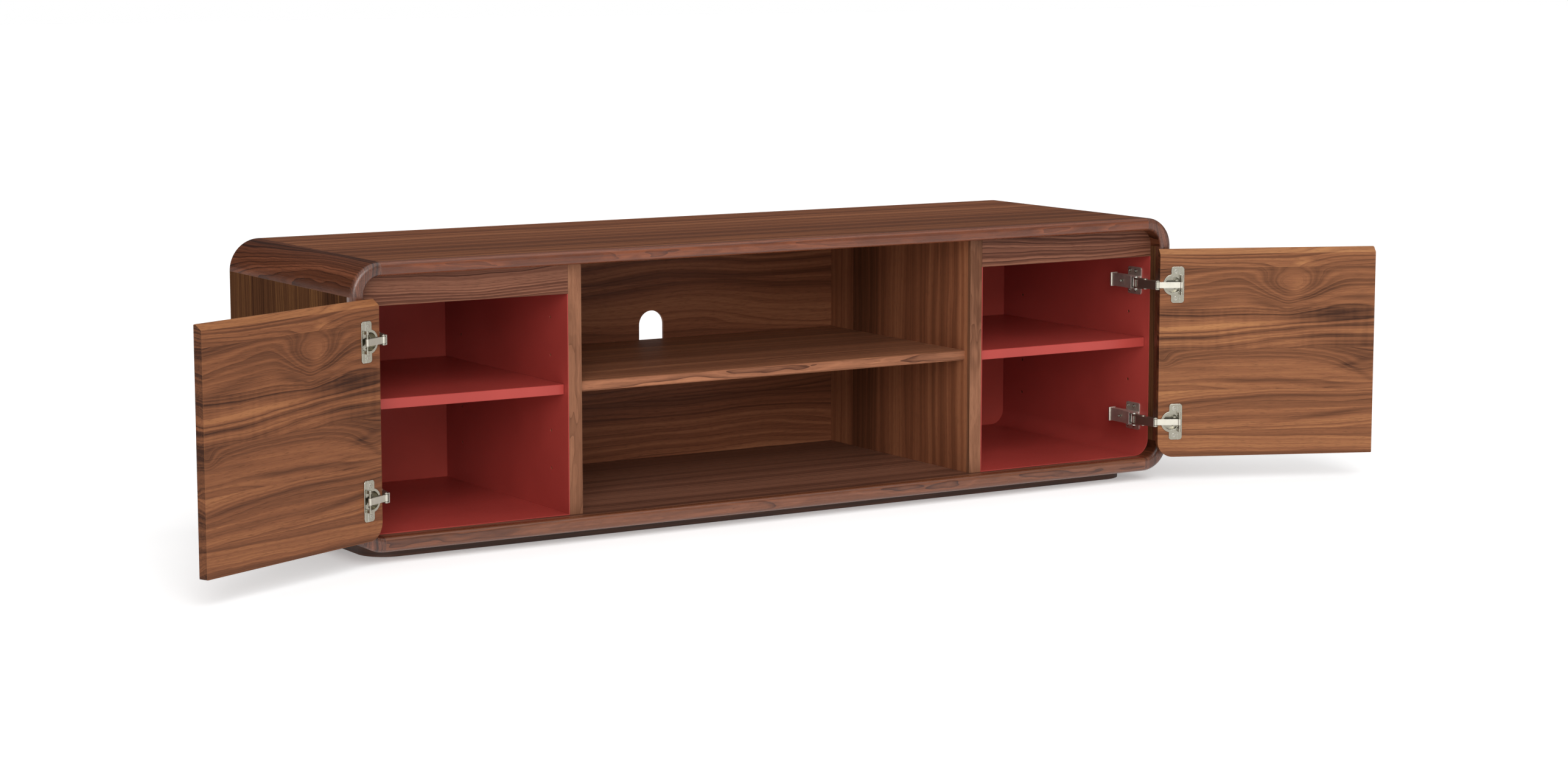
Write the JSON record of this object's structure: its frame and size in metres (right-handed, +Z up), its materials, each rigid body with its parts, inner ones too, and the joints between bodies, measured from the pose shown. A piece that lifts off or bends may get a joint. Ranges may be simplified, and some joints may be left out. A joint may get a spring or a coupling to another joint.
{
  "type": "media cabinet",
  "caption": "Low media cabinet with rounded corners: hinged side doors over lacquered compartments with shelves, and an open shelved middle with a cable slot.",
  "frame": {"origin": "on the floor under the cabinet's centre, on the underside of the plinth's middle cross rail", "axes": "+X along the cabinet's length towards its right door, +Y from the open front to the back, +Z up"},
  "size_m": [2.259, 0.6694, 0.474],
  "materials": {
    "walnut_top": "satin oiled walnut",
    "walnut_side": "satin oiled walnut",
    "walnut_corner": "satin oiled walnut",
    "walnut_lipping": "satin oiled walnut",
    "walnut_door": "satin oiled walnut",
    "walnut_strip": "satin oiled walnut",
    "walnut_back": "satin oiled walnut",
    "walnut_divider": "satin oiled walnut",
    "walnut_header": "satin oiled walnut",
    "walnut_shelf": "satin oiled walnut",
    "walnut_floor": "satin oiled walnut",
    "plinth_dark": "dark stained",
    "red_lacquer": "satin red lacquer",
    "red_back": "satin red lacquer",
    "zinc_screw": "zinc plated",
    "nickel_screw": "nickel plated",
    "bright_pin": "polished",
    "nickel_bar": "satin nickel",
    "nickel_arm": "nickel plated",
    "nickel_plate": "nickel plated"
  },
  "bodies": {
    "cabinet": {"arm_pins": "bright_pin", "back_panel_centre": "walnut_back", "back_panel_left": "red_back", "back_panel_right": "red_back", "back_screws": "zinc_screw", "bottom_front_lipping": "walnut_lipping", "bottom_panel": "walnut_floor", "centre_shelf": "walnut_shelf", "centre_shelf_front_strip": "walnut_shelf", "corner_block_bottom_left": "walnut_corner", "corner_block_bottom_right": "walnut_corner", "corner_block_top_left": "walnut_corner", "corner_block_top_right": "walnut_corner", "divider_front_strip_left": "walnut_strip", "divider_front_strip_right": "walnut_strip", "divider_left": "walnut_divider", "divider_lining_left": "red_lacquer", "divider_lining_right": "red_lacquer", "divider_right": "walnut_divider", "header_rail_left": "walnut_header", "header_rail_right": "walnut_header", "hinge_arm_left_lower": "nickel_arm", "hinge_arm_left_upper": "nickel_arm", "hinge_arm_right_lower": "nickel_arm", "hinge_arm_right_upper": "nickel_arm", "hinge_plate_left_lower": "nickel_plate", "hinge_plate_left_upper": "nickel_plate", "hinge_plate_right_lower": "nickel_plate", "hinge_plate_right_upper": "nickel_plate", "hinge_plate_screws": "nickel_screw", "lining_left": "red_lacquer", "lining_right": "red_lacquer", "plinth_cross_rails": "plinth_dark", "plinth_ring": "plinth_dark", "red_shelf_left": "red_lacquer", "red_shelf_right": "red_lacquer", "shelf_pins": "bright_pin", "side_front_lipping_left": "walnut_lipping", "side_front_lipping_right": "walnut_lipping", "side_panel_left": "walnut_side", "side_panel_right": "walnut_side", "top_front_lipping": "walnut_lipping", "top_panel": "walnut_top"},
    "mid_links_right": {"hinge_links_right": "nickel_arm", "knee_pins_right": "bright_pin"},
    "bars_right": {"hinge_bars_right": "nickel_bar"},
    "door_right": {"door_right": "walnut_door", "hinge_cup_right_lower": "nickel_plate", "hinge_cup_right_upper": "nickel_plate", "cup_pins_right": "bright_pin", "cup_screws_right": "nickel_screw"},
    "mid_links_left": {"hinge_links_left": "nickel_arm", "knee_pins_left": "bright_pin"},
    "bars_left": {"hinge_bars_left": "nickel_bar"},
    "door_left": {"door_left": "walnut_door", "hinge_cup_left_lower": "nickel_plate", "hinge_cup_left_upper": "nickel_plate", "cup_pins_left": "bright_pin", "cup_screws_left": "nickel_screw"}
  },
  "joints": [
    {"name": "arm_pivot_right", "type": "hinge", "parent": "cabinet", "child": "mid_links_right", "pos_m": [0.74787, -0.20599, 0.2322], "axis": [0, 0, -1], "range_deg": [0, 136.41]},
    {"name": "knee_pivot_right", "type": "hinge", "parent": "mid_links_right", "child": "bars_right", "pos_m": [0.75608, -0.25775, 0.2322], "axis": [0, 0, -1], "range_deg": [-120.35, 0]},
    {"name": "door_hinge_right", "type": "hinge", "parent": "bars_right", "child": "door_right", "pos_m": [0.79337, -0.27928, 0.2322], "axis": [0, 0, -1], "range_deg": [0, 140.44]},
    {"name": "arm_pivot_left", "type": "hinge", "parent": "cabinet", "child": "mid_links_left", "pos_m": [-0.74787, -0.20599, 0.2322], "axis": [0, 0, 1], "range_deg": [0, 134.67]},
    {"name": "knee_pivot_left", "type": "hinge", "parent": "mid_links_left", "child": "bars_left", "pos_m": [-0.75451, -0.25798, 0.2322], "axis": [0, 0, 1], "range_deg": [-118.82, 0]},
    {"name": "door_hinge_left", "type": "hinge", "parent": "bars_left", "child": "door_left", "pos_m": [-0.79172, -0.27964, 0.2322], "axis": [0, 0, 1], "range_deg": [0, 138.65]}
  ],
  "couplings": [
    {"joint": "arm_pivot_right", "follows": "door_hinge_right", "ratio": 0.96839},
    {"joint": "knee_pivot_right", "follows": "door_hinge_right", "ratio": -0.85408},
    {"joint": "arm_pivot_left", "follows": "door_hinge_left", "ratio": 0.96839},
    {"joint": "knee_pivot_left", "follows": "door_hinge_left", "ratio": -0.85408}
  ]
}
